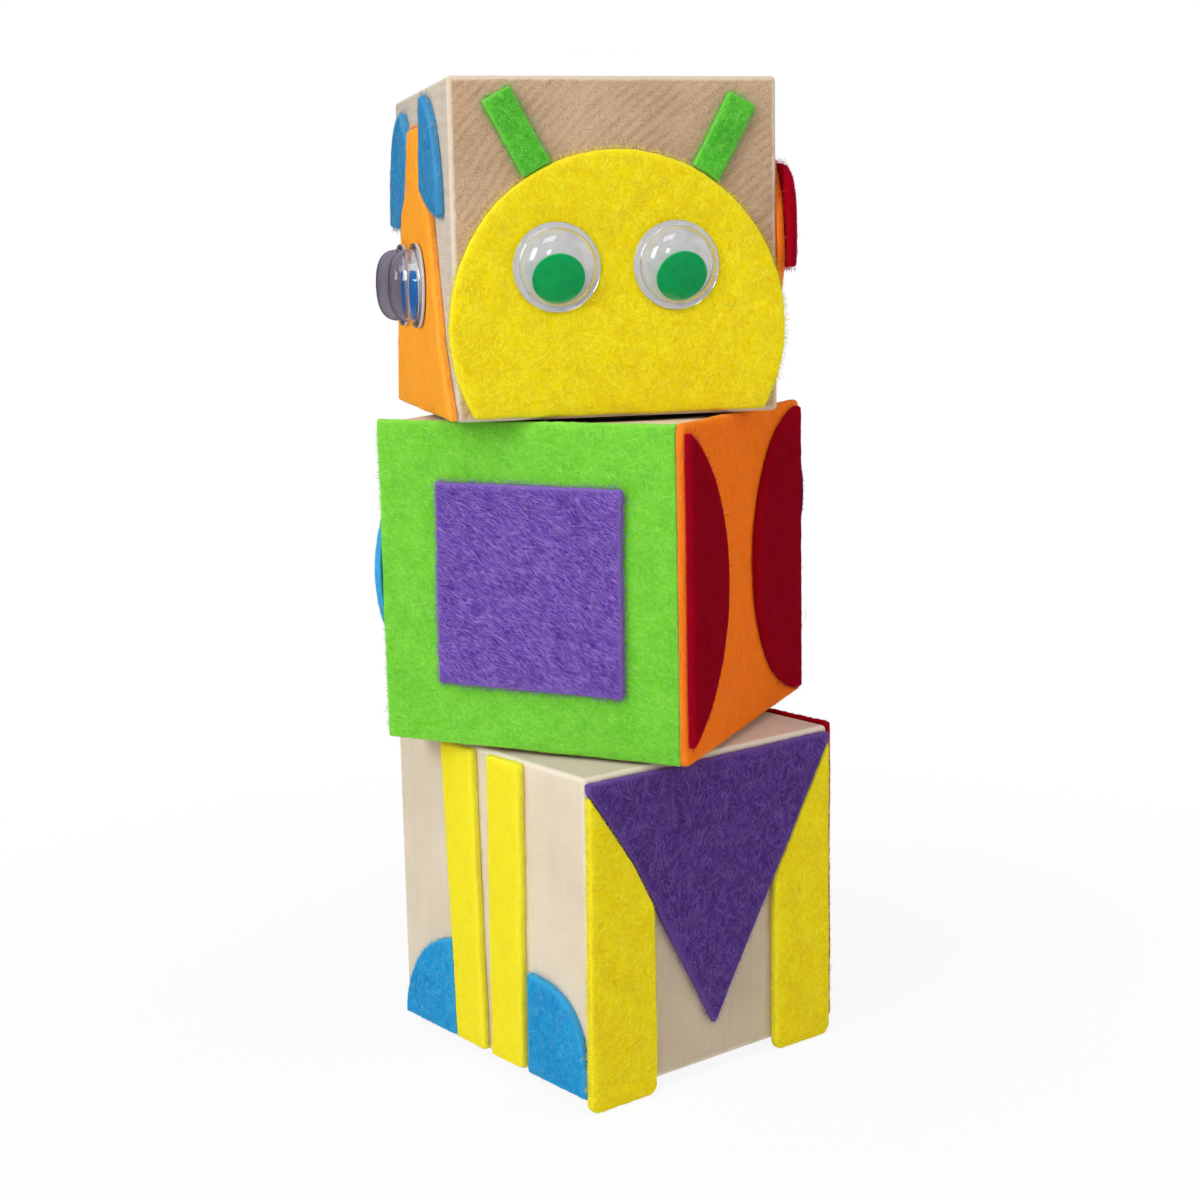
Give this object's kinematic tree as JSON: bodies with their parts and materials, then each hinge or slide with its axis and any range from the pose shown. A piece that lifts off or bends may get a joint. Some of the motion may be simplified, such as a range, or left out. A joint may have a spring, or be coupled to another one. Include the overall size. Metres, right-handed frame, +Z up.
{
  "type": "stacking felt figure",
  "caption": "Mix-and-match figure of stacked wooden cubes dressed in felt, whose head and body turn and lift off on hook-and-loop pads, with loose pupils in googly eyes.",
  "frame": {"origin": "middle of the foot pad's underside, under the lowest cube", "axes": "+Z up through the stack; the head's yellow face looks towards -Y at rest; +X to the right of a viewer who looks at that face"},
  "size_m": [0.1134, 0.1151, 0.234],
  "materials": {
    "wood": "bare sanded wood",
    "yellow_felt": "craft felt",
    "green_felt": "craft felt",
    "purple_felt": "craft felt",
    "orange_felt": "craft felt",
    "red_felt": "craft felt",
    "blue_felt": "craft felt",
    "hook_tape": "woven nylon hooks",
    "loop_tape": "napped nylon loops",
    "foot_felt": "dense felt",
    "eye_card": "white card",
    "clear_dome": "clear moulded film",
    "green_pupil": "satin plastic",
    "blue_pupil": "satin plastic"
  },
  "bodies": {
    "legs": {"legs_block": "wood", "foot_pad": "foot_felt", "legs_loop_pad": "loop_tape", "left_leg_strip": "yellow_felt", "right_leg_strip": "yellow_felt", "left_shoe": "blue_felt", "right_shoe": "blue_felt", "skirt_triangle": "purple_felt", "skirt_left_leg": "yellow_felt", "skirt_right_leg": "yellow_felt", "red_trousers": "red_felt", "rear_left_strip": "green_felt", "rear_right_strip": "green_felt"},
    "body_pad": {"body_hook_pad": "hook_tape"},
    "body": {"body_block": "wood", "body_loop_pad": "loop_tape", "shirt_panel": "green_felt", "shirt_patch": "purple_felt", "coat_panel": "orange_felt", "coat_near_lapel": "red_felt", "coat_far_lapel": "red_felt", "belly_oval": "blue_felt", "body_rear_panel": "purple_felt"},
    "head_pad": {"head_hook_pad": "hook_tape"},
    "head": {"head_block": "wood", "face_disc": "yellow_felt", "left_antenna": "green_felt", "right_antenna": "green_felt", "left_eye_back": "eye_card", "left_eye_dome": "clear_dome", "right_eye_back": "eye_card", "right_eye_dome": "clear_dome", "side_face": "orange_felt", "side_near_hair": "blue_felt", "side_far_hair": "blue_felt", "side_near_eye_back": "eye_card", "side_near_eye_dome": "clear_dome", "side_far_eye_back": "eye_card", "side_far_eye_dome": "clear_dome", "right_face": "orange_felt", "right_near_ear": "red_felt", "right_far_ear": "red_felt", "head_rear_disc": "purple_felt"},
    "left_pupil": {"left_eye_pupil": "green_pupil"},
    "right_pupil": {"right_eye_pupil": "green_pupil"},
    "side_near_pupil": {"side_near_eye_pupil": "blue_pupil"},
    "side_far_pupil": {"side_far_eye_pupil": "blue_pupil"}
  },
  "joints": [
    {"name": "body_lift", "type": "slide", "parent": "legs", "child": "body_pad", "axis": [0, 0, 1], "range_m": [0, 0.05]},
    {"name": "body_turn", "type": "hinge", "parent": "body_pad", "child": "body", "pos_m": [-0.0011, 0.0057, 0.0804], "axis": [0, 0, 1], "continuous": true},
    {"name": "head_lift", "type": "slide", "parent": "body", "child": "head_pad", "axis": [0, 0, 1], "range_m": [0, 0.05]},
    {"name": "head_turn", "type": "hinge", "parent": "head_pad", "child": "head", "pos_m": [-0.0026, 0.0118, 0.1578], "axis": [0, 0, 1], "continuous": true},
    {"name": "left_pupil_swing", "type": "hinge", "parent": "head", "child": "left_pupil", "pos_m": [-0.01755, -0.0286, 0.192], "axis": [0, -1, 0], "continuous": true},
    {"name": "right_pupil_swing", "type": "hinge", "parent": "head", "child": "right_pupil", "pos_m": [0.01035, -0.0286, 0.192], "axis": [0, -1, 0], "continuous": true},
    {"name": "side_near_pupil_swing", "type": "hinge", "parent": "head", "child": "side_near_pupil", "pos_m": [-0.043, 0.0083, 0.1882], "axis": [-1, 0, 0], "continuous": true},
    {"name": "side_far_pupil_swing", "type": "hinge", "parent": "head", "child": "side_far_pupil", "pos_m": [-0.043, 0.0293, 0.1882], "axis": [-1, 0, 0], "continuous": true}
  ]
}
